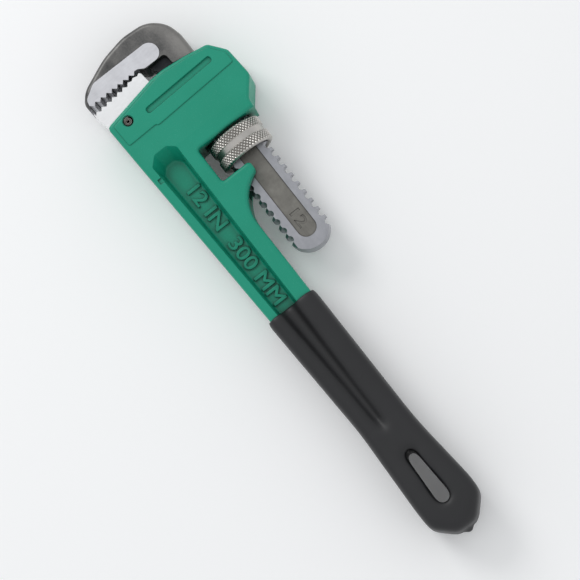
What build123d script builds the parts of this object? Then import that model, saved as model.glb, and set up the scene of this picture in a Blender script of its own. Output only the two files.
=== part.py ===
from build123d import *
import math
import os

# A straight-pattern pipe wrench of the 12 inch class, lying on its side.
# Everything is drawn about the adjusting nut: X runs along the shank towards the jaws, Y runs from the
# shank towards the heel of the handle, and Z = 0 is the middle plane. The last lines move the finished
# pieces so that the origin is under the middle of the closed wrench.

# ---- driving dimensions, millimetres ----
HEAD_HALF = 13.4            # half thickness of the housing
PANEL_HALF = 14.0           # the same over its raised front panel
CREASE_X = 15.6             # where the flat of the housing ends and the handle's taper begins
CREASE_SLOPE = 0.05         # how steeply the taper begins
CAST_ROUND = 1.6            # edge radius that the casting sand leaves
PANEL_ROUND = 0.45          # and round the raised panel
GROOVE_LEAN = 0.7           # how much the panel's groove widens on each side towards its top
WEB_HALF = 4.0              # half thickness of the handle's web
COAT = 1.6                  # thickness of the dipped grip
COAT_POOL = 7.4             # height of the coat above the middle plane where it pools over the web
GRIP_START = -73.9
GRIP_ROUND = 4.2            # edge radius of the grip

THREAD_PITCH = 5.0
TIP_RADIUS = 10.4           # the crests lie on this cylinder
VALLEY_DEPTH = 8.3          # distance of a valley's bottom from the shank's axis
VALLEY_RADIUS = 1.74
VALLEY_SWEEP = 25.0         # the valley bottoms are bowed to this radius across the bar
THREAD_START = -0.6         # X of a valley on the heel side
SHANK_HALF = 5.5            # half thickness of the shank
SHANK_NECK = 9.4            # half width of the plain shank
SHANK_END = -60.2
THREAD_TOP = 9.0            # X where the thread runs out under the housing

NUT_RADIUS = 13.7
NUT_HALF = 6.7
NUT_BORE = 10.8
NUT_CREST = 9.65            # radius of the nut's thread crests

WINDOW_TOP = 8.1            # the nut's window in the housing, along X
WINDOW_BOTTOM = -10.6
WINDOW_FLOOR = 17.4
TUNNEL_HALF = 5.9           # half thickness of the slot that the shank slides in
TUNNEL_OUTER = -10.9
TUNNEL_INNER = 14.2
HORN_FLOOR = 12.2           # bottom of the slot between the horn's cheeks

JAW_HALF = 9.7              # half thickness of the hook
GROUND_HALF = 10.0          # the same over its ground side faces
HEEL_HALF = 9.5
TOOTH_PITCH = 3.26
TOOTH_DEPTH = 1.6
TOOTH_LEAN = 0.42           # a tip stands this share of the pitch from the valley nearer the throat
JAW_OPEN = 0.6              # how far the jaw stands open at rest

PIN_AT = (38.3, 34.3)
PIN_RADIUS = 2.4
PIN_BORE = 1.3
PIN_SLIP = 0.05             # how much wider the jaw's hole is than the pin

SLOT_NEAR = (-161.8, 26.3, 2.4)   # hang slot: centre and half width of each end
SLOT_FAR = (-185.0, 26.3, 3.5)

RIVET_X = 14.5
SPRING_X = 30.0
SPRING_WIRE = 0.5           # radius of the coil's wire
SPRING_RADIUS = 3.0         # radius of the coil's mid line
SPRING_TURNS = 4

BIG = 60.0                  # reaches past the wrench in any direction


def flat(corners):
    """A flat face from corners given as (x, y, corner radius)."""
    line = FilletPolyline(*[c[:2] for c in corners], radius=[c[2] for c in corners], close=True)
    return make_face(line)


def plate(corners, low, high):
    """A solid of that outline between two heights."""
    return Pos(0, 0, low) * extrude(flat(corners), amount=high - low)


def both_faces(tool):
    """The tool and its mirror image on the other face."""
    return tool + mirror(tool, about=Plane.XY)


def side_body(stations):
    """A solid that is as thick as (x, half thickness) says at each station, and tall in Y.

    It is flat between the first two stations. From there, past a slight crease, a smooth curve runs
    on through the others.
    """
    first, *curved = stations
    level = Line(first, curved[0])
    taper = Spline(*curved, tangents=[(-1, -CREASE_SLOPE), (-1, 0)])
    over = [level, taper]
    under = [mirror(edge, about=Plane.XZ) for edge in over]
    ends = [Line(level @ 0, under[0] @ 0), Line(taper @ 1, under[1] @ 1)]
    return extrude(make_face(Plane.XZ * Curve(children=[*over, *under, *ends])), amount=BIG, both=True)


def rim_edges(solid, lowest):
    """The edges where upright walls meet the broad faces, at least that far from the middle plane."""
    def on_rim(edge):
        box = edge.bounding_box()
        return min(abs(box.min.Z), abs(box.max.Z)) > lowest and box.min.Z * box.max.Z > 0
    walls = solid.faces().filter_by(lambda face: abs(face.normal_at().Z) < 0.1)
    return walls.edges().filter_by(on_rim)


def tapered_slot(near, far, extra, low, high):
    """A slot with a round end of its own size at each end."""
    (x0, y0, r0), (x1, y1, r1) = near, far
    lean = math.asin((r1 - r0) / abs(x1 - x0))
    sine, cosine = math.sin(lean), math.cos(lean)
    r0, r1 = r0 + extra, r1 + extra
    corners = [(x0 + r0 * sine, y0 + r0 * cosine), (x1 + r1 * sine, y1 + r1 * cosine),
               (x1 + r1 * sine, y1 - r1 * cosine), (x0 + r0 * sine, y0 - r0 * cosine)]
    face = make_face(Polyline(*corners, close=True))
    face = face + Pos(x0, y0) * Circle(r0) + Pos(x1, y1) * Circle(r1)
    return Pos(0, 0, low) * extrude(face, amount=high - low)


# ---- the handle casting ----

OUTLINE = [
    (41.9, 43.9, 2.5),                   # heel corner
    (47.5, 14.9, 0.0),                   # seat of the heel jaw
    (47.8, 7.6, 6.0),                    # top of the loop
    (46.6, -3.7, 20.0),
    (44.4, -15.8, 3.0),
    (36.4, -21.9, 4.0),                  # outer side of the loop
    (21.0, -22.9, 4.0),
    (12.3, -15.8, 3.0),
    (WINDOW_TOP, -15.2, 0.0),
    (WINDOW_TOP, WINDOW_FLOOR, 1.5),     # window of the nut
    (WINDOW_BOTTOM, WINDOW_FLOOR, 1.5),
    (WINDOW_BOTTOM, 1.9, 1.8),           # horn
    (-15.4, 1.9, 2.4),
    (-23.3, 16.4, 20.0),
    (-150.0, 16.0, 200.0),               # handle
    (-184.6, 12.8, 12.0),
    (-192.8, 12.9, 5.4),
    (-201.8, 21.6, 5.4),
    (-201.3, 30.4, 4.4),
    (-193.4, 38.6, 5.4),
    (-183.0, 38.7, 30.0),
    (-140.0, 37.0, 150.0),
]

# half thickness of the casting along X: the housing, the slender handle and its thicker end
THICKNESS = [(60.0, HEAD_HALF), (CREASE_X, HEAD_HALF), (-30.0, 11.5), (-74.0, 10.4), (-147.0, 9.2),
             (-187.0, 10.8), (-215.0, 10.8)]


def handle_core():
    """Housing and handle as one thick plate, rounded along its rims."""
    core = extrude(flat(OUTLINE), amount=BIG, both=True) & side_body(THICKNESS)
    return fillet(rim_edges(core, 8.0), CAST_ROUND)


def web_recess():
    """The pocket in one face that leaves the web: a small round-ended floor and leaning walls."""
    floor = [(9.0, 25.4, 4.2), (12.3, 28.4, 4.2), (12.3, 33.6, 4.2), (9.0, 36.8, 4.2),
             (-74.0, 34.0, 90.0), (-148.5, 30.5, 2.0), (-148.5, 25.5, 2.0), (-74.0, 25.3, 90.0)]
    mouth = [(15.5, 23.8, 1.8), (18.7, 27.5, 1.8), (18.7, 34.5, 1.8), (14.5, 38.8, 1.8),
             (-74.0, 35.7, 90.0), (-154.0, 32.0, 3.5), (-154.0, 23.7, 3.5), (-74.0, 23.4, 90.0)]
    pocket = loft([Pos(0, 0, WEB_HALF) * flat(floor), Pos(0, 0, PANEL_HALF) * flat(mouth)])
    return fillet(pocket.faces().sort_by(Axis.Z)[0].edges(), 1.4)


def front_panel():
    """The raised panel round the head end of the housing, with its shallow groove, for one face."""
    panel = plate([(40.2, 41.2, 1.0), (46.2, 11.5, 2.0), (44.9, -3.7, 12.0), (42.8, -14.8, 2.5),
                   (35.8, -20.2, 3.0), (30.2, -20.4, 1.0), (28.1, 24.4, 1.0), (29.1, 25.2, 1.0),
                   (28.7, 40.8, 1.0)], HEAD_HALF - 1.0, PANEL_HALF)
    panel = fillet(panel.faces().sort_by(Axis.Z)[-1].edges(), PANEL_ROUND)
    bottom = flat([(36.7, -12.9, 1.0), (39.1, -12.9, 1.0), (37.6, 24.5, 1.0), (35.2, 24.5, 1.0)])
    top = offset(bottom, amount=GROOVE_LEAN)
    groove = loft([Pos(0, 0, HEAD_HALF - 0.5) * bottom, Pos(0, 0, PANEL_HALF + 0.5) * top])
    return panel, groove


def make_handle():
    panel, groove = front_panel()
    body = handle_core() - both_faces(web_recess())
    body += both_faces(panel)
    body -= both_faces(groove)
    body -= Pos(6.9, 38.6, HEAD_HALF) * Box(2.6, 3.6, 2.4)     # gate mark in the upper pocket's rim
    # the tunnel of the shank, open into the window, and the slot between the horn's two cheeks
    body -= Pos(30, (TUNNEL_INNER + TUNNEL_OUTER) / 2, 0) * Box(
        60, TUNNEL_INNER - TUNNEL_OUTER, 2 * TUNNEL_HALF)
    body -= Pos(-22, HORN_FLOOR - 10, 0) * Box(40, 20, 2 * TUNNEL_HALF)
    body -= heel_tongue(0.12)
    body -= Pos(*PIN_AT, 0) * Cylinder(PIN_RADIUS, BIG)
    for side in (1, -1):
        body -= Pos(*PIN_AT, side * PANEL_HALF) * Cylinder(PIN_RADIUS + 0.35, 0.9)
    # the blind pocket of the coil spring and the rivet's hole, both square to the tunnel wall
    body -= Pos(SPRING_X, TUNNEL_INNER + 2.9, 0) * Rot(X=90) * Cylinder(SPRING_RADIUS + 1.1, 6.0)
    body -= Pos(RIVET_X, TUNNEL_INNER + 3.0, 0) * Rot(X=90) * Cylinder(1.6, 6.4)
    body -= tapered_slot(SLOT_NEAR, SLOT_FAR, COAT - 0.2, -BIG, BIG)
    return body


# ---- the heel jaw and its pin ----

HEEL_SEAT = ((47.2, 15.5), (41.95, 43.4))       # the line where jaw and housing meet
HEEL_TIPS = ((54.3, 17.6), (51.8, 44.3))


def along(line, reach, out):
    """The point that lies reach along a line from its start, and out to its left."""
    (x0, y0), (x1, y1) = line
    length = math.hypot(x1 - x0, y1 - y0)
    ux, uy = (x1 - x0) / length, (y1 - y0) / length
    return (x0 + ux * reach - uy * out, y0 + uy * reach + ux * out)


def heel_tongue(clearance):
    """The tongue under the heel jaw, or the pocket for it when given some clearance."""
    depth = 9.6 + clearance
    corners = [along(HEEL_SEAT, 4.0 - clearance, -0.6), along(HEEL_SEAT, 25.0 + clearance, -0.6),
               along(HEEL_SEAT, 25.0 + clearance, depth), along(HEEL_SEAT, 4.0 - clearance, depth)]
    half = 4.9 + clearance
    return plate([(x, y, 0.0) for x, y in corners], -half, half)


def make_heel_jaw():
    pitches = 8
    teeth = []
    for k in range(pitches):
        start = 1.0 + k * TOOTH_PITCH
        depth = 0.8 if k == 0 else 1.45
        teeth.append(along(HEEL_TIPS, start + TOOTH_PITCH * (1 - TOOTH_LEAN), 0.0))
        teeth.append(along(HEEL_TIPS, start + TOOTH_PITCH, depth))
    corners = [(47.5, 15.6), (53.2, 16.2), (54.1, 17.0), (53.4, 18.3)]
    corners += teeth + [(51.9, 44.6), (51.0, 45.1), (42.15, 43.5)]
    block = plate([(x, y, 0.0) for x, y in corners], -HEEL_HALF, HEEL_HALF)
    jaw = block + heel_tongue(0.0)
    return jaw - Pos(*PIN_AT, 0) * Cylinder(PIN_RADIUS + PIN_SLIP, BIG)


def make_heel_pin():
    """A slotted spring pin, a little shorter than its hole."""
    pin = Cylinder(PIN_RADIUS, 2 * PANEL_HALF - 1.2)
    pin = chamfer(pin.edges().filter_by(GeomType.CIRCLE), 0.4)
    pin -= Cylinder(PIN_BORE, BIG)
    pin -= Pos(-PIN_RADIUS, 0, 0) * Box(2 * PIN_RADIUS, 0.9, BIG)
    return Pos(*PIN_AT, 0) * Rot(Z=-35) * pin


# ---- the hook jaw ----

def tooth_valley(side, x):
    """The ring that cuts one valley across a narrow edge of the shank, canted like the thread."""
    cant = math.degrees(math.atan(THREAD_PITCH / (2 * math.pi * (VALLEY_DEPTH + 1.2))))
    ring = Rot(Y=90) * Torus(VALLEY_SWEEP + VALLEY_RADIUS, VALLEY_RADIUS)
    centre = side * (VALLEY_DEPTH - VALLEY_SWEEP)
    return Pos(x, centre, 0) * Rot(Y=side * cant) * ring


def threaded_shank():
    """The flat bar with rounded narrow edges, its thread and the long shallow panel in each face."""
    plan = flat([(THREAD_TOP + 3.0, TIP_RADIUS, 0.0), (THREAD_TOP + 3.0, -TIP_RADIUS, 0.0),
                 (SHANK_END, -TIP_RADIUS, TIP_RADIUS - 0.2), (SHANK_END, TIP_RADIUS, TIP_RADIUS - 0.2)])
    bar = extrude(plan, amount=SHANK_HALF, both=True)
    bar &= Rot(Y=90) * Cylinder(TIP_RADIUS, 4 * BIG)
    first = 2
    last = -10
    for n in range(last, first + 1):
        x = THREAD_START + n * THREAD_PITCH
        bar -= tooth_valley(1, x)
    for n in range(last - 1, first):
        x = THREAD_START + (n + 0.5) * THREAD_PITCH
        bar -= tooth_valley(-1, x)
    panel_far = SHANK_END + 5.7
    panel = plate([(11.0, 4.6, 0.0), (11.0, -4.9, 0.0), (panel_far, -4.9, 4.6),
                   (panel_far, 4.6, 4.6)], SHANK_HALF - 0.8, BIG)
    return bar - both_faces(panel)


def hook_teeth():
    """The tooth line of the hook, square to the shank, as (x, y) from the throat to the mouth."""
    points = []
    pitches = 8
    for k in range(pitches):
        start = 18.0 + k * TOOTH_PITCH
        points.append((55.4, start))
        points.append((55.4 - TOOTH_DEPTH, start + TOOTH_LEAN * TOOTH_PITCH))
    points.append((55.4, 18.0 + pitches * TOOTH_PITCH))
    return points


def make_hook_jaw():
    shank = threaded_shank()
    neck = plate([(THREAD_TOP, SHANK_NECK, 0.0), (THREAD_TOP, -SHANK_NECK, 0.0),
                  (55.0, -SHANK_NECK, 0.0), (55.0, 12.0, 0.0), (53.5, 12.0, 1.0),
                  (49.2, SHANK_NECK, 3.0)], -SHANK_HALF, SHANK_HALF)
    back = [(45.7, -9.4, 0.0), (56.0, -9.4, 14.0), (64.5, -7.3, 14.0), (71.0, 0.5, 14.0),
            (71.9, 13.0, 22.0), (69.4, 26.0, 40.0), (62.6, 41.6, 12.0), (57.6, 45.7, 5.0)]
    front = [(53.2, 45.5, 0.0)] + [(x, y, 0.0) for x, y in reversed(hook_teeth())]
    throat = [(55.2, 16.3, 1.5), (53.0, 13.4, 2.5), (53.4, 2.0, 2.0), (47.4, 1.6, 0.8)]
    head = plate(back + front + throat, -JAW_HALF, JAW_HALF)
    outer = [edge for edge in rim_edges(head, 9.0) if is_outer(edge)]
    head = fillet(outer, 2.2)
    ground = plate([(62.8, 2.8, 4.9), (62.8, 36.5, 5.0), (58.4, 43.4, 3.0)]
                   + front[1:] + [(55.2, 16.3, 1.5), (53.4, 13.4, 2.5), (53.3, 2.8, 4.3)],
                   -GROUND_HALF, GROUND_HALF)
    jaw = head + ground + neck
    return Pos(JAW_OPEN, 0, 0) * jaw + shank


def is_outer(edge):
    """Whether a rim edge of the hook is on its back, away from the teeth and the throat."""
    middle = edge.center()
    return middle.X > 57.0 or (middle.Y < -5.0 and middle.X > 49.6) or middle.Y > 45.0


# ---- the adjusting nut ----

def make_nut():
    """A round nut with two raised bands for the knurl, a groove between them and an inside thread."""
    outline = [(0, -NUT_HALF), (NUT_RADIUS - 1.5, -NUT_HALF), (NUT_RADIUS - 0.3, -NUT_HALF + 0.9),
               (NUT_RADIUS, -NUT_HALF + 1.2), (NUT_RADIUS, -1.7), (NUT_RADIUS - 0.7, -1.4),
               (NUT_RADIUS - 0.7, 1.4), (NUT_RADIUS, 1.7), (NUT_RADIUS, NUT_HALF - 1.2),
               (NUT_RADIUS - 0.3, NUT_HALF - 0.9), (NUT_RADIUS - 1.5, NUT_HALF), (0, NUT_HALF)]
    blank = revolve(make_face(Plane.XZ * Polyline(*outline, close=True)), axis=Axis.Z)
    blank -= Cylinder(NUT_BORE, BIG)
    bore_chamfer = Cone(NUT_BORE, NUT_BORE + 0.8, 0.8)
    blank -= Pos(0, 0, NUT_HALF - 0.4) * bore_chamfer
    blank -= Pos(0, 0, -NUT_HALF + 0.4) * Rot(X=180) * bore_chamfer
    # one ridge of the thread, wound from below the nut to above it and trimmed to its length
    start = THREAD_START - THREAD_PITCH / 4 - 2 * THREAD_PITCH
    wound = Helix(THREAD_PITCH, 21.0, NUT_CREST, center=(0, 0, start))
    ridge = [(NUT_CREST, -0.95), (NUT_BORE + 0.3, -1.2), (NUT_BORE + 0.3, 1.2), (NUT_CREST, 0.95)]
    section = make_face(Plane.XZ * Polyline(*ridge, close=True))
    thread = sweep(Pos(0, 0, start) * section, path=wound, is_frenet=True)
    trim = Cylinder(NUT_BORE + 1.0, 2 * NUT_HALF - 1.2)
    return Rot(Y=90) * (blank + (thread & trim))


# ---- springs and rivet ----

def make_flat_spring():
    """The leaf between the shank and the tunnel wall, with a hole for the rivet and a lipped top."""
    thick = 0.9
    inner = Polyline((9.5, 12.7), (21.0, 12.7), (33.0, 11.2), (45.0, 10.7), (48.6, 11.1))
    outer = offset(inner, amount=thick, side=Side.LEFT, kind=Kind.INTERSECTION, closed=True)
    leaf = Pos(0, 0, -5.0) * extrude(make_face(outer), amount=10.0)
    return leaf - Pos(RIVET_X, TUNNEL_INNER, 0) * Rot(X=90) * Cylinder(1.9, 12.0)


def make_rivet():
    shaft = Cylinder(1.6, 6.0 + 1.8, align=(Align.CENTER, Align.CENTER, Align.MIN))
    head = Cylinder(2.9, 0.9, align=(Align.CENTER, Align.CENTER, Align.MAX))
    head = fillet(head.edges().filter_by(GeomType.CIRCLE).sort_by(Axis.Z)[0], 0.5)
    return Pos(RIVET_X, 12.4, 0) * Rot(X=-90) * (shaft + head)


def make_coil_spring():
    """A closed coil that stands in its pocket and reaches for the leaf."""
    height = 6.0
    line = Helix(height / SPRING_TURNS, height, SPRING_RADIUS)
    wire = sweep(Plane(origin=line @ 0, z_dir=line % 0) * Circle(SPRING_WIRE), path=line, is_frenet=True)
    return Pos(SPRING_X, 12.9 + SPRING_WIRE, 0) * Rot(X=-90) * wire


# ---- the dipped grip ----

def make_grip(handle):
    """The vinyl coat: a rounded skin over the handle, sunk over the web and lining the hang slot."""
    thick = [(x, half + COAT) for x, half in THICKNESS]
    plan = offset(flat(OUTLINE), amount=COAT) & Pos(GRIP_START - 2 * BIG, 0) * Rectangle(4 * BIG, 4 * BIG)
    coat = extrude(plan, amount=BIG, both=True) & side_body(thick)
    coat = fillet([e for e in rim_edges(coat, 8.0) if e.center().X < GRIP_START - 0.5], GRIP_ROUND)
    coat += Pos(-203.6, 26.0, 0) * Sphere(2.3)
    hollow = loft([
        Pos(0, 0, COAT_POOL) * make_face(Polyline(
            (-70.0, 27.4), (-138.0, 27.4), (-142.0, 28.4), (-138.0, 29.4), (-70.0, 31.6), close=True)),
        Pos(0, 0, 12.6) * make_face(Polyline(
            (-70.0, 23.9), (-147.0, 24.6), (-152.0, 28.0), (-147.0, 31.4), (-70.0, 35.0), close=True)),
    ])
    coat -= both_faces(hollow)
    coat -= tapered_slot(SLOT_NEAR, SLOT_FAR, 0.0, -BIG, BIG)
    return coat - handle


def main():
    handle = make_handle()
    nodes = {
        "handle": handle,
        "heel_jaw": make_heel_jaw(),
        "heel_jaw_pin": make_heel_pin(),
        "hook_jaw": make_hook_jaw(),
        "adjusting_nut": make_nut(),
        "flat_spring": make_flat_spring(),
        "spring_rivet": make_rivet(),
        "coil_spring": make_coil_spring(),
        "grip_sleeve": make_grip(handle),
    }
    boxes = [node.bounding_box() for node in nodes.values()]
    low = [min(tuple(box.min)[axis] for box in boxes) for axis in range(3)]
    high = [max(tuple(box.max)[axis] for box in boxes) for axis in range(3)]
    shift = Pos(-(low[0] + high[0]) / 2, -(low[1] + high[1]) / 2, -low[2])
    os.makedirs("parts", exist_ok=True)
    for name, node in nodes.items():
        export_step(shift * node, f"parts/{name}.step")
    print("size", [round(b - a, 2) for a, b in zip(low, high)])
    print("the nut's middle in the finished frame", shift.position)


main()
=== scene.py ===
# %% [markdown]
# # A 12 inch pipe wrench
#
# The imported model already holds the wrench's shape, its joints and its place. This lesson gives it its
# looks: enamel over a sand casting, a forged and ground hook, a knurled nut, a rolled pin and a grip that
# was dipped in vinyl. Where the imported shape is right, only its material changes. Where the real piece has
# finer relief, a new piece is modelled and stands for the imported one.

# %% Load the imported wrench
import math

import bmesh
import bpy
from mathutils import Matrix, Vector


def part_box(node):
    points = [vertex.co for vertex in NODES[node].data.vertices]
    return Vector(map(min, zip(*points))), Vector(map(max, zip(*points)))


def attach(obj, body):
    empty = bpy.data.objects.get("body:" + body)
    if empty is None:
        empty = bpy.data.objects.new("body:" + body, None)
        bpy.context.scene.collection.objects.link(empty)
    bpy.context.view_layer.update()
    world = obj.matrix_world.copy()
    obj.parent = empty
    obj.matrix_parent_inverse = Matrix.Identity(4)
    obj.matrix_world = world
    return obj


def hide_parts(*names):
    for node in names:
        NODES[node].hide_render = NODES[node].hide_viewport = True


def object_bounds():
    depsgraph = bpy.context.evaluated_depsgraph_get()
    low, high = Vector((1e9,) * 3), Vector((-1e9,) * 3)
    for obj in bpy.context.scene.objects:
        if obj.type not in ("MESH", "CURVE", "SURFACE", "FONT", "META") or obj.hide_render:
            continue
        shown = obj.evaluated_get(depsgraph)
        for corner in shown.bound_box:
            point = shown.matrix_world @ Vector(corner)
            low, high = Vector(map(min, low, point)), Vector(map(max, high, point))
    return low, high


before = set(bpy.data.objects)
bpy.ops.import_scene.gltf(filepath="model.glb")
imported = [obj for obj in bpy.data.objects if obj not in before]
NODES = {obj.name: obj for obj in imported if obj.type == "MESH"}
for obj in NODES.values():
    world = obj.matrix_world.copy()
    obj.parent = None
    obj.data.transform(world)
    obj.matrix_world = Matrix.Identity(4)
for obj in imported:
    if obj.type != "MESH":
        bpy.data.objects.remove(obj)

MM = 0.001
cad_low, cad_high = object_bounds()
print("size of the wrench, mm:", [round(side / MM, 1) for side in cad_high - cad_low])

# %% [markdown]
# ## Where things are
#
# A fitter measures this wrench from its nut, because the shank, the window and the jaws are all lined up on
# it. The same is done here: the nut's middle is read from the frame, and every other place is given in
# millimetres from it. So nothing has to be fitted by eye.

# %% Measure from the nut
nut_low, nut_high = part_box("adjusting_nut")
NUT = (nut_low + nut_high) / 2
NUT_RADIUS = (nut_high.z - nut_low.z) / 2 / MM
NUT_HALF = (nut_high.x - nut_low.x) / 2 / MM


def place(x, y, z=0.0):
    """The point that lies x mm towards the jaws, y mm towards the spine and z mm up from the nut."""
    return NUT + Vector((x, y, z)) * MM


print("the nut's middle, m:", [round(c, 4) for c in NUT], "radius", round(NUT_RADIUS, 2), "mm")

# %% [markdown]
# ## Tools for materials
#
# A material is a small tree of nodes that ends in the Principled shader. One function adds a node with its
# settings and its links, so that a tree reads from top to bottom. Colours are picked as the sRGB hex
# values that a painter's chart gives, and one function turns them into the linear light values that the
# renderer adds up.

# %% Colours, nodes and pattern sizes


def linear(chart):
    """The linear colour of an sRGB hex value such as #33917A."""
    channels = [int(chart[i:i + 2], 16) / 255 for i in (1, 3, 5)]
    return [c / 12.92 if c <= 0.04045 else ((c + 0.055) / 1.055) ** 2.4 for c in channels] + [1.0]


def blobs(size):
    """The noise scale whose blobs are about that many millimetres across."""
    return 1.0 / (size * MM)


def start_material(name, **inputs):
    """A new material's tree and its shader, with the shader's uniform values set on its own sockets."""
    material = bpy.data.materials.new(name)
    material.use_nodes = True
    shader = material.node_tree.nodes["Principled BSDF"]
    for socket, value in inputs.items():
        shader.inputs[socket.replace("_", " ")].default_value = value
    return material, material.node_tree, shader


def add(tree, kind, settings=None, **inputs):
    """Adds a node. An input is a value or a socket to link, and i0, i1 and so on name it by number."""
    node = tree.nodes.new("ShaderNode" + kind)
    for setting, value in (settings or {}).items():
        setattr(node, setting, value)
    for key, value in inputs.items():
        socket = node.inputs[int(key[1:])] if key[1:].isdigit() else node.inputs[key.replace("_", " ")]
        if isinstance(value, bpy.types.NodeSocket):
            tree.links.new(value, socket)
        else:
            socket.default_value = value
    return node


MIX_COLOUR = {"data_type": "RGBA", "clamp_factor": True}
print("enamel green in linear light:", [round(c, 3) for c in linear("#33917A")])

# %% [markdown]
# ## Enamel over a sand casting
#
# Housing and handle are one iron casting. The sand mould leaves a skin of fine grains, and the sprayed
# enamel flows over it, so the paint shows a soft, uneven gloss and no sharp edge. The Bevel node rounds the
# shading at every edge by a paint film's flow. Ambient occlusion finds the corners, and painted shade
# darkens them there. Object coordinates keep the grain fixed to the casting.

# %% Green enamel on cast iron
ENAMEL_FLOW = 0.45          # mm, how far the paint rounds an edge
CASTING_GRAIN = 0.55        # mm, the sand's grain
PAINT_PATCH = 22            # mm, how far the paint's tone drifts
PAINT_RIPPLE = 4.5          # mm, the unevenness of its skin
ENAMEL_SHADE_REACH = 7              # mm, how far from a corner the painted shade reaches

enamel, tree, shader = start_material("green_enamel_on_cast_iron", IOR=1.45)
spot = add(tree, "TexCoord").outputs["Object"]
patches = add(tree, "TexNoise", Vector=spot, Scale=blobs(PAINT_PATCH), Detail=3.0, Roughness=0.55)
grains = add(tree, "TexNoise", Vector=spot, Scale=blobs(CASTING_GRAIN), Detail=2.0, Roughness=0.6)
ripples = add(tree, "TexNoise", Vector=spot, Scale=blobs(PAINT_RIPPLE), Detail=2.0)
paint = add(tree, "Mix", MIX_COLOUR, i0=patches.outputs["Fac"], i6=linear("#008C6F"), i7=linear("#12987C"))
specks = add(tree, "MapRange", Value=grains.outputs["Fac"], From_Min=0.60, From_Max=0.74, To_Max=0.35)
paint = add(tree, "Mix", MIX_COLOUR, i0=specks.outputs[0], i6=paint.outputs[2], i7=linear("#43A88E"))
# painted shade: where ambient occlusion finds a corner, the green is mixed towards a deep green
nooks = add(tree, "AmbientOcclusion", {"samples": 8}, Distance=ENAMEL_SHADE_REACH * MM)
shade = add(tree, "MapRange", Value=nooks.outputs["AO"], From_Min=0.25, From_Max=0.85)
paint = add(tree, "Mix", MIX_COLOUR, i0=shade.outputs[0], i6=linear("#0C4A3A"), i7=paint.outputs[2])
tree.links.new(paint.outputs[2], shader.inputs["Base Color"])
gloss = add(tree, "MapRange", Value=ripples.outputs["Fac"], To_Min=0.34, To_Max=0.50)
tree.links.new(gloss.outputs[0], shader.inputs["Roughness"])
flow = add(tree, "Bevel", {"samples": 4}, Radius=ENAMEL_FLOW * MM)
rough = add(tree, "Bump", Strength=0.5, Distance=0.03 * MM, Height=grains.outputs["Fac"],
            Normal=flow.outputs[0])
skin = add(tree, "Bump", Strength=0.5, Distance=0.16 * MM, Height=ripples.outputs["Fac"],
           Normal=rough.outputs[0])
tree.links.new(skin.outputs[0], shader.inputs["Normal"])
NODES["handle"].material_slots[0].material = enamel
print("the casting wears", enamel.name)

# %% [markdown]
# ## Steels
#
# The wrench shows the same steel after different work. The hook is drop-forged and shot-blasted, which
# leaves a dark, faintly mottled grey. The sides of the jaws are ground, which leaves bright metal with
# fine parallel scratches. The shank is milled, and its long panel keeps the forging's warmer grey. Its neck
# is painted dark grey, as painted shade for the throat where it sits. One function makes them all: two
# greys, how they are blotched, and noise stretched along the direction in which the tool moved. Painted
# shade darkens the corners. Metals keep the default IOR.

# %% One function for worked steel
STEEL_SHADE_REACH = 1.6           # mm, how far from a corner the painted shade reaches
LIGHTER_FROM = 8               # mm from the nut's axis along Y, where the lighter side begins
LIGHTER_FULL = -12              # and where it is lighter in full


def worked_steel(name, dark, light, roughness, blotch, scratch, depth, stretch=(1.0, 1.0, 1.0), lighter_side=0.0):
    """Steel of two greys in blotches of one size, with grains or scratches of another, drawn out.

    Where lighter_side is given, the lighter grey gains by that much across the wrench, towards -Y.
    """
    steel, tree, shader = start_material(name, Metallic=1.0)
    spot = add(tree, "TexCoord").outputs["Object"]
    drawn = add(tree, "Mapping", {"vector_type": "POINT"}, Vector=spot, Scale=stretch)
    clouds = add(tree, "TexNoise", Vector=spot, Scale=blobs(blotch), Detail=4.0, Roughness=0.6)
    lines = add(tree, "TexNoise", Vector=drawn.outputs[0], Scale=blobs(scratch), Detail=3.0, Roughness=0.6)
    tone = add(tree, "Math", {"operation": "MULTIPLY_ADD"}, i0=lines.outputs["Fac"], i1=0.45,
               i2=add(tree, "Math", {"operation": "MULTIPLY_ADD"}, i0=clouds.outputs["Fac"], i1=1.1,
                      i2=-0.3).outputs[0])
    side = add(tree, "SeparateXYZ", Vector=spot)
    lightened = add(tree, "MapRange", {"interpolation_type": "SMOOTHSTEP"}, Value=side.outputs["Y"],
                 From_Min=NUT.y + LIGHTER_FROM * MM, From_Max=NUT.y + LIGHTER_FULL * MM, To_Max=lighter_side)
    tone = add(tree, "Math", {"operation": "ADD", "use_clamp": True}, i0=tone.outputs[0],
               i1=lightened.outputs[0])
    colour = add(tree, "Mix", MIX_COLOUR, i0=tone.outputs[0], i6=linear(dark), i7=linear(light))
    # painted shade: where ambient occlusion finds a corner, the steel is mixed towards near black
    nooks = add(tree, "AmbientOcclusion", {"samples": 8}, Distance=STEEL_SHADE_REACH * MM)
    steel_unshaded = add(tree, "MapRange", Value=nooks.outputs["AO"], From_Min=0.35, From_Max=0.80)
    colour = add(tree, "Mix", MIX_COLOUR, i0=steel_unshaded.outputs[0], i6=linear("#101011"), i7=colour.outputs[2])
    tree.links.new(colour.outputs[2], shader.inputs["Base Color"])
    gloss = add(tree, "MapRange", Value=lines.outputs["Fac"], From_Min=0.3, From_Max=0.7,
                To_Min=roughness - 0.08, To_Max=roughness + 0.08)
    tree.links.new(gloss.outputs[0], shader.inputs["Roughness"])
    edge = add(tree, "Bevel", {"samples": 4}, Radius=0.15 * MM)
    relief = add(tree, "Bump", Strength=0.6, Distance=depth * MM, Height=lines.outputs["Fac"],
                 Normal=edge.outputs[0])
    tree.links.new(relief.outputs[0], shader.inputs["Normal"])
    return steel


ALONG_TEETH = (1.0, 0.06, 1.0)      # scratches that run along Y, the way the jaws pass the grinding wheel
ALONG_BAR = (0.06, 1.0, 1.0)        # and along X, the way the shank passes the cutter

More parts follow.
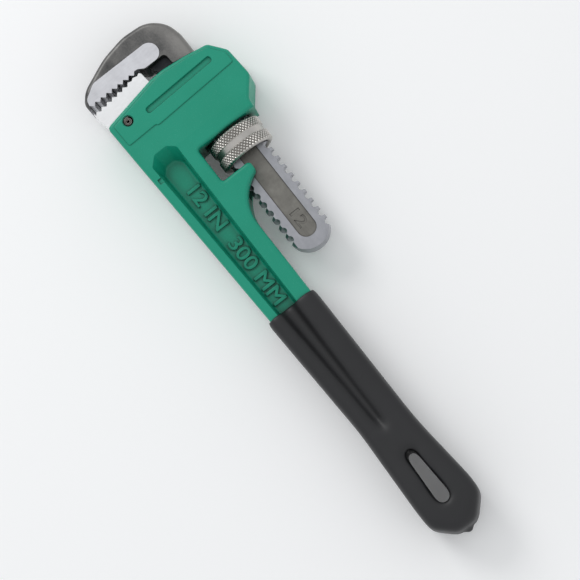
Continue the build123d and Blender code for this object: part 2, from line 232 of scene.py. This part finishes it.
forged = worked_steel("forged_and_blasted_steel", "#2C2F33", "#8C8A87", 0.44, 9.0, 0.6, 0.05, lighter_side=0.5)
ground = worked_steel("ground_steel", "#BEBEC2", "#E6E6EA", 0.42, 7.0, 0.30, 0.008, ALONG_TEETH)
bright = worked_steel("fine_ground_steel", "#EDEDEE", "#FCFCFC", 0.38, 8.0, 0.25, 0.006, ALONG_TEETH)
milled = worked_steel("milled_steel", "#989A9F", "#B8B8BD", 0.44, 5.0, 0.35, 0.012, ALONG_BAR)
panel_steel = worked_steel("scaled_shank_panel", "#6A6863", "#93918B", 0.46, 4.0, 0.5, 0.03, ALONG_BAR)
# painted shade: the neck is dark grey so that at rest it stands for the shade in the throat
neck_shade_steel = worked_steel("neck_steel_painted_as_throat_shade", "#2A2B2E", "#4C4D50", 0.48, 5.0, 0.5, 0.02, ALONG_BAR)
blued = worked_steel("blued_spring_steel", "#1B1C20", "#34363C", 0.30, 3.0, 0.3, 0.005)
oiled = worked_steel("oiled_pin_steel", "#3A3B3E", "#6A6B6E", 0.34, 2.0, 0.3, 0.008)
for node, steel in (("heel_jaw", bright), ("flat_spring", blued), ("coil_spring", blued),
                    ("spring_rivet", oiled)):
    NODES[node].material_slots[0].material = steel
    print(node, "wears", steel.name)

# %% [markdown]
# ## Tools for pieces
#
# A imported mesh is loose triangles, each with corners of its own. A copy whose doubles are merged is one
# skin again, which can be remeshed, cut and shaded smooth. Every new piece stays at the origin, unturned,
# with its place in its mesh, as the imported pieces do.

# %% Making and merging meshes


def add_piece(name, bm, *materials):
    """A new object with that mesh and those materials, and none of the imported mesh's stored shading."""
    mesh = bpy.data.meshes.new(name)
    bm.to_mesh(mesh)
    bm.free()
    packed_shading = mesh.attributes.get("custom_normal")
    if packed_shading:
        mesh.attributes.remove(packed_shading)
    piece = bpy.data.objects.new(name, mesh)
    bpy.context.scene.collection.objects.link(piece)
    for material in materials:
        mesh.materials.append(material)
    return piece


def merged_skin(node):
    """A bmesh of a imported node's surface, with its doubles merged."""
    bm = bmesh.new()
    bm.from_mesh(NODES[node].data)
    bmesh.ops.remove_doubles(bm, verts=bm.verts, dist=0.002 * MM)
    for layer in list(bm.loops.layers.float_vector):
        bm.loops.layers.float_vector.remove(layer)
    return bm


def smooth_shade(piece, degrees):
    """Smooth shading that stops at edges sharper than that."""
    piece.data.shade_smooth()
    piece.data.set_sharp_from_angle(angle=math.radians(degrees))
    return piece


def bake_modifiers(piece):
    """The piece's mesh as its modifiers leave it, with the modifiers gone."""
    graph = bpy.context.evaluated_depsgraph_get()
    mesh = bpy.data.meshes.new_from_object(piece.evaluated_get(graph))
    piece.modifiers.clear()
    piece.data = mesh
    return piece


def flat_faces_first(piece):
    """Lets large faces rule the shading, so that flats stay flat beside their rounded edges."""
    weigh = piece.modifiers.new("large faces first", "WEIGHTED_NORMAL")
    weigh.mode = "FACE_AREA"
    weigh.weight = 80
    weigh.keep_sharp = True
    return piece


def report(piece):
    """Prints how many faces a piece has."""
    print(piece.name, "has", len(piece.data.polygons), "faces")
    return piece


print("the casting's merged skin has", len(merged_skin("handle").faces), "triangles")

# %% [markdown]
# ## Lettering
#
# The casting carries its nominal size in raised letters in the pocket of the handle, and the shank has its
# number stamped into the panel. Letters could be a bump in the material, but real relief catches the light
# along its edges and stays in the exported mesh. A text curve with a little extrusion and bevel is turned
# into a mesh and moved to its place.

# %% Words as solid letters
LETTER_WEIGHT = 0.018       # how much bolder than its outline a letter is, of the type's size


def letters(words, centre, length, height, thick, below=False):
    """A bmesh of solid letters about that centre, read from above or, below the wrench, from below."""
    curve = bpy.data.curves.new("letters", "FONT")
    curve.body = words
    curve.extrude = 0.5
    curve.bevel_depth = LETTER_WEIGHT
    curve.bevel_resolution = 0
    curve.align_x = "CENTER"
    curve.align_y = "CENTER"
    curve.resolution_u = 4
    holder = bpy.data.objects.new("letters", curve)
    bpy.context.scene.collection.objects.link(holder)
    bpy.context.view_layer.update()
    mesh = bpy.data.meshes.new_from_object(holder.evaluated_get(bpy.context.evaluated_depsgraph_get()))
    bpy.data.objects.remove(holder)
    bm = bmesh.new()
    bm.from_mesh(mesh)
    bpy.data.meshes.remove(mesh)
    bmesh.ops.remove_doubles(bm, verts=bm.verts, dist=1e-5)
    lows = [min(v.co[axis] for v in bm.verts) for axis in range(3)]
    highs = [max(v.co[axis] for v in bm.verts) for axis in range(3)]
    middle = Vector((low + high) / 2 for low, high in zip(lows, highs))
    grow = Vector(side / (high - low) for side, low, high in zip((length, height, thick), lows, highs))
    turn = Matrix.Rotation(math.pi, 4, "X" if below else "Z")
    move = Matrix.Translation(centre) @ turn @ Matrix.Diagonal(grow * MM).to_4x4()
    bmesh.ops.transform(bm, matrix=move @ Matrix.Translation(-middle), verts=bm.verts)
    return bm


WEB_HALF = 4.0              # mm, half thickness of the handle's web, on which the letters stand
LETTER_RISE = 0.9           # mm above the web
LETTER_ROOT = 0.6           # mm that a letter is thicker than it rises, which holds it in the web
LETTER_LINE = 67.0          # mm, length of the words
LETTER_HEIGHT = 7.3
for side, name in ((1, "size_letters"), (-1, "size_letters_back")):
    z = side * (WEB_HALF + LETTER_RISE / 2 - LETTER_ROOT / 2)
    bm = letters("12 IN  300 MM", place(-36.5, 29.9, z), LETTER_LINE, LETTER_HEIGHT,
                 LETTER_RISE + LETTER_ROOT, below=side < 0)
    cast_size = smooth_shade(add_piece(name, bm, enamel), 30)
    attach(cast_size, "handle_body")
    report(cast_size)

# %% [markdown]
# ## The hook jaw
#
# One forging carries five finishes: dark forged skin on the hook's back, a bright ground pad beside the
# teeth, milled flats along the threaded shank, a sunk panel down its middle and a neck painted dark grey as
# painted shade for the throat. A merged copy takes one material slot for each, and each face is sorted by
# where it lies and which way it looks.
# A stamped number is cut into the panel by a boolean with the same solid letters.

# %% Cut and sort the hook jaw
GROUND_HALF = 10.0          # mm, half thickness over the ground pads
SHANK_HALF = 5.5
PANEL_DEPTH = 0.8
PANEL_SIDE = 5.2            # mm from the axis, just past the panel's long walls
HOOK_START = 46.0           # mm, where the plain neck gives way to the hook
WINDOW_EDGE = 8.0           # mm, where the shank goes from the nut's window into the housing
NECK_END = 54.0
NECK_SIDE = -9.6            # mm, the neck's outer edge
TEETH_LEVEL = 15.5          # mm, the teeth begin on this side of the throat
TEETH_BACK = 57.0           # mm, just behind the teeth's valleys
NEAR = 0.05                 # mm, how close to a level counts as on it
SKIN, PAD, FLAT, PANEL, NECK = range(5)     # the material slots

hook = add_piece("hook", merged_skin("hook_jaw"), forged, ground, milled, panel_steel, neck_shade_steel)
stamp_at = place(-44.6, -0.1, SHANK_HALF - PANEL_DEPTH)
stamp = add_piece("stamp", letters("12", stamp_at, length=8.4, height=5.2, thick=0.7))
cut = hook.modifiers.new("stamp", "BOOLEAN")
cut.object = stamp
cut.operation = "DIFFERENCE"
cut.solver = "EXACT"
bake_modifiers(hook)
bpy.data.objects.remove(stamp)

for face in hook.data.polygons:
    spot = (face.center - NUT) / MM
    level = abs(spot.z)
    flat = abs(face.normal.z) > 0.99
    upright = abs(face.normal.z) < 0.1
    if spot.x > HOOK_START and flat and level > GROUND_HALF - NEAR:
        face.material_index = PAD
    elif HOOK_START < spot.x < TEETH_BACK and spot.y > TEETH_LEVEL and upright:
        face.material_index = PAD
    elif WINDOW_EDGE < spot.x < NECK_END and level < SHANK_HALF + 2 * NEAR and spot.y > NECK_SIDE:
        face.material_index = NECK
    elif spot.x < HOOK_START and flat and level > SHANK_HALF - NEAR:
        face.material_index = FLAT
    elif spot.x < HOOK_START and level > SHANK_HALF - PANEL_DEPTH - 0.6 and abs(spot.y) < PANEL_SIDE:
        face.material_index = PANEL
    elif spot.x < HOOK_START:
        face.material_index = FLAT
    else:
        face.material_index = SKIN
flat_faces_first(smooth_shade(hook, 28))
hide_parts("hook_jaw")
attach(hook, "jaw_body")
report(hook)

# %% [markdown]
# ## The knurled nut
#
# The nut is turned, rolled with a diamond knurl in two bands, and threaded inside. Its section is drawn
# once and spun round the axis. The knurl is real relief: two families of helical grooves cross, and each
# point of the skin sinks by its distance from the nearest groove. The same distance is kept as an
# attribute, so the material can paint shade into the grooves and leave polish on the points that
# fingers wear smooth.

# %% Spin the nut's section
KNURLS = 48                 # diamonds round the nut
KNURL_PITCH = 2.0           # mm, length of a diamond along the axis
KNURL_DEPTH = 0.48
KNURL_SLOPE = 0.36          # of a diamond, over which its side rises from the groove to the top
PLAIN_LEVEL = 0.6            # tone and polish of the nut's plain faces, where 1 is that of the knurl's points and 0 the grooves' painted shade
CUTS = 10                   # steps across one diamond
BAND = (1.75, 5.75)         # mm from the middle, both bands
BORE = 10.8

step = KNURL_PITCH / CUTS
rows = round((BAND[1] - BAND[0]) / step)
half_section = [(0.0, NUT_RADIUS - 0.75), (1.3, NUT_RADIUS - 0.75), (1.55, NUT_RADIUS - 0.55)]
half_section += [(BAND[0] + k * step, NUT_RADIUS) for k in range(rows + 1)]
half_section += [(6.2, NUT_RADIUS - 0.45), (NUT_HALF, NUT_RADIUS - 1.3), (NUT_HALF, 12.0), (NUT_HALF, 11.5),
                 (NUT_HALF - 0.7, BORE), (3.0, BORE), (0.0, BORE)]
section = half_section + [(-x, r) for x, r in reversed(half_section[1:-1])]
bm = bmesh.new()
ring = [bm.verts.new(place(x, 0.0, r)) for x, r in section]
loop = [bm.edges.new(pair) for pair in zip(ring, ring[1:] + ring[:1])]
bmesh.ops.spin(bm, geom=ring + loop, cent=NUT, axis=(1, 0, 0), dvec=(0, 0, 0), angle=math.tau,
               steps=KNURLS * CUTS, use_merge=True, use_duplicate=False)
bmesh.ops.remove_doubles(bm, verts=bm.verts, dist=0.001 * MM)
knurl_layer = bm.verts.layers.float.new("knurl_height")
for vert in bm.verts:
    out = vert.co - NUT
    radius = math.hypot(out.y, out.z)
    across = abs(out.x) / MM
    vert[knurl_layer] = PLAIN_LEVEL
    if BAND[0] - 0.01 <= across <= BAND[1] + 0.01 and radius > (NUT_RADIUS - 0.01) * MM:
        turn = math.atan2(out.z, out.y) / math.tau * KNURLS
        along = (across - BAND[0]) / KNURL_PITCH
        gaps = [abs(line - round(line)) for line in (turn + along, turn - along)]
        height = min(1.0, min(gaps) / KNURL_SLOPE)
        vert[knurl_layer] = height
        squeeze = 1 - KNURL_DEPTH * MM * (1 - height) / radius
        vert.co = NUT + Vector((out.x, out.y * squeeze, out.z * squeeze))
bmesh.ops.recalc_face_normals(bm, faces=bm.faces)

# %% A finish for the knurl
nut_steel, tree, shader = start_material("rolled_nut_steel", Metallic=1.0)
spot = add(tree, "TexCoord").outputs["Object"]
high = add(tree, "Attribute", {"attribute_name": "knurl_height"}).outputs["Fac"]
stains = add(tree, "TexNoise", Vector=spot, Scale=blobs(2.6), Detail=4.0)
lathe = add(tree, "Mapping", Vector=spot, Scale=(1.0, 0.05, 0.05))
turning = add(tree, "TexNoise", Vector=lathe.outputs[0], Scale=blobs(0.2), Detail=2.0)
tone = add(tree, "Mix", MIX_COLOUR, i0=stains.outputs["Fac"], i6=linear("#D6D2CC"), i7=linear("#F0EDE8"))
# painted shade: the knurl is painted darker the deeper it lies in a groove
tone = add(tree, "Mix", MIX_COLOUR, i0=high, i6=linear("#6E6A65"), i7=tone.outputs[2])
tree.links.new(tone.outputs[2], shader.inputs["Base Color"])
gloss = add(tree, "MapRange", Value=high, To_Min=0.5, To_Max=0.28)
tree.links.new(gloss.outputs[0], shader.inputs["Roughness"])
relief = add(tree, "Bump", Strength=0.5, Distance=0.01 * MM, Height=turning.outputs["Fac"])
tree.links.new(relief.outputs[0], shader.inputs["Normal"])

nut = smooth_shade(add_piece("knurled_nut", bm, nut_steel), 24)
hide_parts("adjusting_nut")
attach(nut, "nut_body")
report(nut)

# %% [markdown]
# ## The thread in the nut
#
# Inside the bore one ridge winds through the teeth of the shank, a right-handed thread of 5 mm pitch. A
# small section spun round the axis with a step along it at every cut makes the ridge, which starts where
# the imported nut's thread is in mesh with the shank.

# %% Wind the thread ridge
THREAD_PITCH = 5.0
THREAD_CREST = 9.65
THREAD_TURNS = 1.75
THREAD_CUTS = 84
THREAD_LEVEL = 0.45          # tone and polish of the thread, on the scale of the knurl's, where 0 is the grooves' painted shade
RIDGE_START = -4.35         # mm along the axis, straight above the nut's middle
bm = bmesh.new()
corners = [(-1.2, BORE + 0.2), (-0.95, THREAD_CREST), (0.95, THREAD_CREST), (1.2, BORE + 0.2)]
ends = [bm.verts.new(place(RIDGE_START + x, 0.0, r)) for x, r in corners]
face = bm.faces.new(ends)
advance = Vector((THREAD_PITCH * THREAD_TURNS / THREAD_CUTS * MM, 0, 0))
bmesh.ops.spin(bm, geom=[face, *face.verts, *face.edges], cent=NUT, axis=(1, 0, 0), dvec=advance,
               angle=THREAD_TURNS * math.tau, steps=THREAD_CUTS, use_merge=False, use_duplicate=False)
bmesh.ops.recalc_face_normals(bm, faces=bm.faces)
thread_layer = bm.verts.layers.float.new("knurl_height")
for vert in bm.verts:
    vert[thread_layer] = THREAD_LEVEL
thread = smooth_shade(add_piece("nut_thread", bm, nut_steel), 40)
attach(thread, "nut_body")
report(thread)

# %% [markdown]
# ## The rolled pin
#
# The heel jaw hangs on a coiled spring pin: a strip of steel rolled up like a scroll, which springs against
# the hole. A plain slotted tube would be quicker, but the scroll shows in the pin's end. A chain of
# vertices winds inwards, is extruded through the housing and gets the strip's thickness.

# %% Roll the pin
PIN_STRIP = 0.42            # mm, thickness of the strip
PIN_ROLLS = 2.25
PIN_WIND = 1.35             # mm, how far the scroll winds inwards
PIN_EASE = 0.02             # mm that the pin stays inside its packed outline
ROLL_CUTS = 72
pin_low, pin_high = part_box("heel_jaw_pin")
pin_middle = (pin_low + pin_high) / 2
outer_roll = (pin_high.x - pin_low.x) / 2 - (PIN_STRIP / 2 + PIN_EASE) * MM
bm = bmesh.new()
scroll = []
for k in range(ROLL_CUTS + 1):
    turn = math.tau * PIN_ROLLS * k / ROLL_CUTS - 0.6
    radius = outer_roll - PIN_WIND * MM * k / ROLL_CUTS
    scroll.append(bm.verts.new((pin_middle.x + radius * math.cos(turn),
                                pin_middle.y + radius * math.sin(turn), pin_low.z)))
strip = [bm.edges.new(pair) for pair in zip(scroll, scroll[1:])]
grown = bmesh.ops.extrude_edge_only(bm, edges=strip)["geom"]
bmesh.ops.translate(bm, vec=(0, 0, pin_high.z - pin_low.z),
                    verts=[part for part in grown if isinstance(part, bmesh.types.BMVert)])
bmesh.ops.recalc_face_normals(bm, faces=bm.faces)
bmesh.ops.solidify(bm, geom=bm.faces[:], thickness=PIN_STRIP * MM)
bmesh.ops.recalc_face_normals(bm, faces=bm.faces)
pin_steel = worked_steel("coiled_pin_steel", "#4A4845", "#A8A39C", 0.3, 1.2, 0.3, 0.01)
pin = smooth_shade(add_piece("coiled_pin", bm, pin_steel), 35)
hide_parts("heel_jaw_pin")
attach(pin, "handle_body")
report(pin)

# %% [markdown]
# ## The dipped grip
#
# The handle is dipped hot into liquid vinyl. The coat bridges every corner, sinks softly over the
# handle's pocket and ends in a drip at the tail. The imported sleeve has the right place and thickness, but
# its edges are too crisp. A voxel remesh of its merged copy gives even squares all over, and smoothing
# lets them flow as the liquid did.

# %% Remesh and smooth the grip
GRIP_VOXEL = 0.75           # mm
GRIP_FLOW = 30              # passes of smoothing

grip = add_piece("dipped_grip", merged_skin("grip_sleeve"))
flow = grip.modifiers.new("even squares", "REMESH")
flow.mode = "VOXEL"
flow.voxel_size = GRIP_VOXEL * MM
bake_modifiers(grip)
bm = bmesh.new()
bm.from_mesh(grip.data)
for _ in range(GRIP_FLOW):
    bmesh.ops.smooth_vert(bm, verts=bm.verts, factor=0.5, use_axis_x=True, use_axis_y=True,
                          use_axis_z=True)
bm.to_mesh(grip.data)
bm.free()

# %% Black dipped vinyl
GRIP_SHADE = 14.0           # mm, reach of the painted shade where the coat sinks in

vinyl, tree, shader = start_material("dipped_vinyl", IOR=1.53)
spot = add(tree, "TexCoord").outputs["Object"]
haze = add(tree, "TexNoise", Vector=spot, Scale=blobs(14), Detail=4.0, Roughness=0.6)
pores = add(tree, "TexNoise", Vector=spot, Scale=blobs(0.5), Detail=2.0, Roughness=0.5)
dust = add(tree, "TexNoise", Vector=spot, Scale=blobs(1.3), Detail=5.0, Roughness=0.8)
tone = add(tree, "Mix", MIX_COLOUR, i0=haze.outputs["Fac"], i6=linear("#111113"), i7=linear("#1D1D20"))
lint = add(tree, "MapRange", Value=dust.outputs["Fac"], From_Min=0.66, From_Max=0.80, To_Max=0.5)
tone = add(tree, "Mix", MIX_COLOUR, i0=lint.outputs[0], i6=tone.outputs[2], i7=linear("#5A5A5C"))
# painted shade: where ambient occlusion finds the sunk coat, the vinyl is mixed towards near black
nooks = add(tree, "AmbientOcclusion", {"samples": 8}, Distance=GRIP_SHADE * MM)
vinyl_unshaded = add(tree, "MapRange", Value=nooks.outputs["AO"], From_Min=0.45, From_Max=0.95)
tone = add(tree, "Mix", MIX_COLOUR, i0=vinyl_unshaded.outputs[0], i6=linear("#060607"), i7=tone.outputs[2])
tree.links.new(tone.outputs[2], shader.inputs["Base Color"])
gloss = add(tree, "MapRange", Value=haze.outputs["Fac"], To_Min=0.42, To_Max=0.58)
tree.links.new(gloss.outputs[0], shader.inputs["Roughness"])
relief = add(tree, "Bump", Strength=0.4, Distance=0.03 * MM, Height=pores.outputs["Fac"])
tree.links.new(relief.outputs[0], shader.inputs["Normal"])
grip.data.materials.append(vinyl)
grip.data.shade_smooth()
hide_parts("grip_sleeve")
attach(grip, "handle_body")
report(grip)

# %% [markdown]
# ## Table, camera and light
#
# The wrench lies flat on a plain white table. The camera is a long lens almost straight above it, tipped
# a little towards the handle's end, and rolled so that the wrench runs from the top left to the bottom
# right. Soft light comes from the top left of the picture, with a faint fill from the other side, and the
# pale room lights the rest.

# %% Lay the table
TABLE_SIDE = 3.0            # m
TABLE_GAP = 0.1             # mm between the wrench and the table, so that their faces don't flicker
TABLE_GLOW = 0.06           # the table shines faintly, so that it isn't black where the wrench shades it

bm = bmesh.new()
bmesh.ops.create_grid(bm, x_segments=2, y_segments=2, size=TABLE_SIDE / 2)
bmesh.ops.translate(bm, vec=(0, 0, cad_low.z - TABLE_GAP * MM), verts=bm.verts)
white, *_ = start_material("white_table", Roughness=0.9, Base_Color=linear("#FAFAFA"),
                           Emission_Color=linear("#FFFFFF"), Emission_Strength=TABLE_GLOW)
table = add_piece("table", bm, white)
print("the table lies at", round(cad_low.z / MM, 2), "mm")

# %% Set up the camera
TIP = math.radians(9.5)     # from straight above, towards the handle's end
ROLL = math.radians(52)     # of the wrench in the picture
DISTANCE = 1.5              # m
SEEN = 264.8 * MM           # width that the picture takes in, at the wrench
SENSOR = 36.0               # mm

aim = Vector((-0.65, 12.1, 14.0)) * MM
back = Vector((-math.sin(TIP), 0, math.cos(TIP)))
along_wrench = Vector((math.cos(TIP), 0, math.sin(TIP)))
across_wrench = Vector((0, 1, 0))
right = -math.cos(ROLL) * along_wrench - math.sin(ROLL) * across_wrench
up = math.sin(ROLL) * along_wrench - math.cos(ROLL) * across_wrench

lens = bpy.data.cameras.new("long_lens")
lens.sensor_width = SENSOR
lens.lens = SENSOR * DISTANCE / SEEN
lens.clip_start = 0.05
lens.clip_end = 20.0
camera = bpy.data.objects.new("camera", lens)
turned = Matrix((right, up, back)).transposed().to_4x4()
camera.matrix_world = Matrix.Translation(aim + back * DISTANCE) @ turned
bpy.context.scene.collection.objects.link(camera)
bpy.context.scene.camera = camera
print("lens", round(lens.lens), "mm at", DISTANCE, "m")

# %% Light the studio


def soft_light(name, side, rise, height, size, power):
    """A square of light that looks at the wrench, placed by the picture's right, up and depth."""
    lamp = bpy.data.lights.new(name, "AREA")
    lamp.shape = "SQUARE"
    lamp.size = size
    lamp.energy = power
    stand = bpy.data.objects.new(name, lamp)
    reach = right * side + up * rise + back * height
    facing = reach.to_track_quat("Z", "Y").to_matrix().to_4x4()
    stand.matrix_world = Matrix.Translation(aim + reach) @ facing
    bpy.context.scene.collection.objects.link(stand)


soft_light("key", -0.95, 0.85, 0.75, 0.6, 6.0)
soft_light("fill", 0.9, -0.5, 0.8, 1.1, 0.6)
sky = bpy.data.worlds.new("studio")
sky.use_nodes = True
sky.node_tree.nodes["Background"].inputs["Color"].default_value = linear("#EEF0F2")
sky.node_tree.nodes["Background"].inputs["Strength"].default_value = 0.80
bpy.context.scene.world = sky
bpy.context.scene.view_settings.view_transform = "Standard"
print("two soft lights and a pale room")
